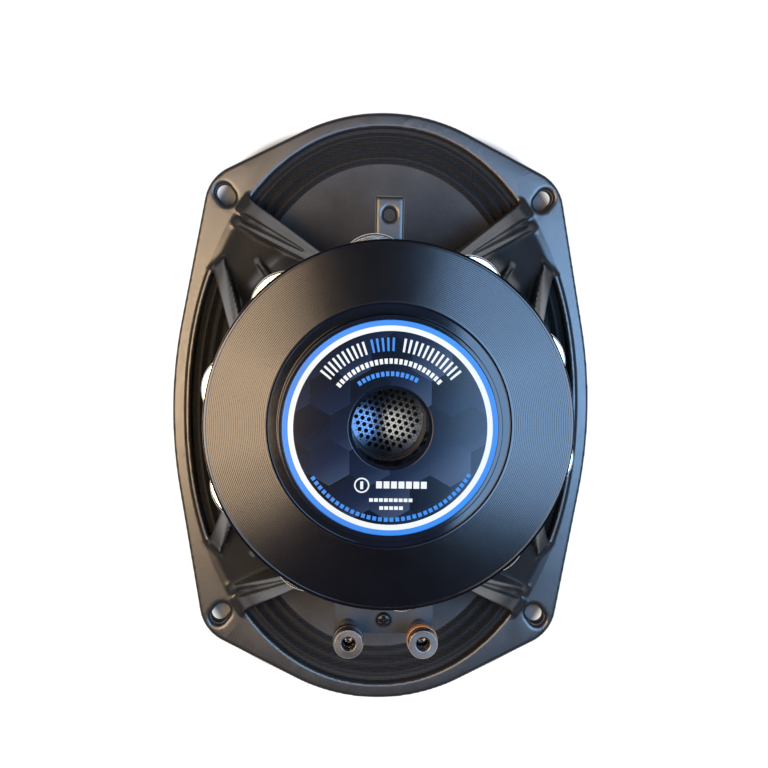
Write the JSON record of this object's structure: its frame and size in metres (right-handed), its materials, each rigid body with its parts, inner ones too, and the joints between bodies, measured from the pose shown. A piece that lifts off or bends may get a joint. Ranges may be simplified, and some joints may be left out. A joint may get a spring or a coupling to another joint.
{
  "type": "car loudspeaker driver",
  "caption": "Oval car loudspeaker driver with a cast open basket, paper cone, cloth-roll surround, vented slug-magnet motor with a grooved back plate, and spring push terminals.",
  "frame": {"origin": "centre of the front gasket's face, the plane the driver lies on when face down", "axes": "+Z from the front gasket to the back of the motor, +Y along the long axis to the spare terminal tab, +X along the short axis; the terminals are at -Y"},
  "size_m": [0.165, 0.233, 0.09],
  "materials": {
    "cast_paint": "satin black powder coat on cast aluminium",
    "gasket_foam": "matt foam",
    "paper_pulp": "matt pressed pulp",
    "cloth": "treated cloth",
    "cap_cloth": "treated cloth",
    "spider_cloth": "resin-treated cotton",
    "coated_steel": "black coated, fine turned grooves",
    "zinc_steel": "zinc plated",
    "nickel": "nickel plated magnet",
    "label": "metallised printed film",
    "screen": "perforated sheet",
    "screw_black": "black screw",
    "phenolic": "phenolic board",
    "chrome": "bright chrome",
    "black_plastic": "moulded",
    "amber_plastic": "moulded",
    "copper": "enamelled wire",
    "former": "film",
    "tinsel": "braided lead"
  },
  "bodies": {
    "frame": {"basket": "cast_paint", "front_gasket": "gasket_foam", "surround": "cloth", "spider": "spider_cloth", "top_plate": "zinc_steel", "back_plate": "coated_steel", "pole_piece": "coated_steel", "vent_screen": "screen", "rear_label": "label", "terminal_board": "phenolic", "terminal_screw": "screw_black", "magnet_slug_01": "nickel", "magnet_slug_02": "nickel", "magnet_slug_03": "nickel", "magnet_slug_04": "nickel", "magnet_slug_05": "nickel", "magnet_slug_06": "nickel", "magnet_slug_07": "nickel", "magnet_slug_08": "nickel", "magnet_slug_09": "nickel", "magnet_slug_10": "nickel", "motor_screw_1": "zinc_steel", "motor_screw_2": "zinc_steel", "motor_screw_3": "zinc_steel", "motor_screw_4": "zinc_steel", "terminal_stem_left": "chrome", "terminal_body_left": "black_plastic", "terminal_spring_left": "zinc_steel", "terminal_nut_left": "zinc_steel", "terminal_washer_left": "chrome", "solder_lug_left": "zinc_steel", "tinsel_lead_left": "tinsel", "terminal_stem_right": "chrome", "terminal_body_right": "black_plastic", "terminal_spring_right": "zinc_steel", "terminal_nut_right": "zinc_steel", "terminal_washer_right": "chrome", "solder_lug_right": "zinc_steel", "tinsel_lead_right": "tinsel"},
    "cone_assembly": {"cone": "paper_pulp", "dust_cap": "cap_cloth", "coil_former": "former", "voice_coil": "copper"},
    "push_cap_left": {"terminal_cap_left": "chrome", "terminal_ring_left": "black_plastic"},
    "push_cap_right": {"terminal_cap_right": "chrome", "terminal_ring_right": "amber_plastic"}
  },
  "joints": [
    {"name": "cone_travel", "type": "slide", "parent": "frame", "child": "cone_assembly", "axis": [0, 0, 1], "range_m": [-0.004, 0.004], "stiffness_N_per_m": 2500, "deforming": ["surround", "spider", "tinsel_lead_left", "tinsel_lead_right"]},
    {"name": "cap_push_left", "type": "slide", "parent": "frame", "child": "push_cap_left", "axis": [0, 0, -1], "range_m": [0, 0.003], "stiffness_N_per_m": 1000, "springref_m": -0.001, "deforming": ["terminal_spring_left"]},
    {"name": "cap_push_right", "type": "slide", "parent": "frame", "child": "push_cap_right", "axis": [0, 0, -1], "range_m": [0, 0.003], "stiffness_N_per_m": 1000, "springref_m": -0.001, "deforming": ["terminal_spring_right"]}
  ]
}
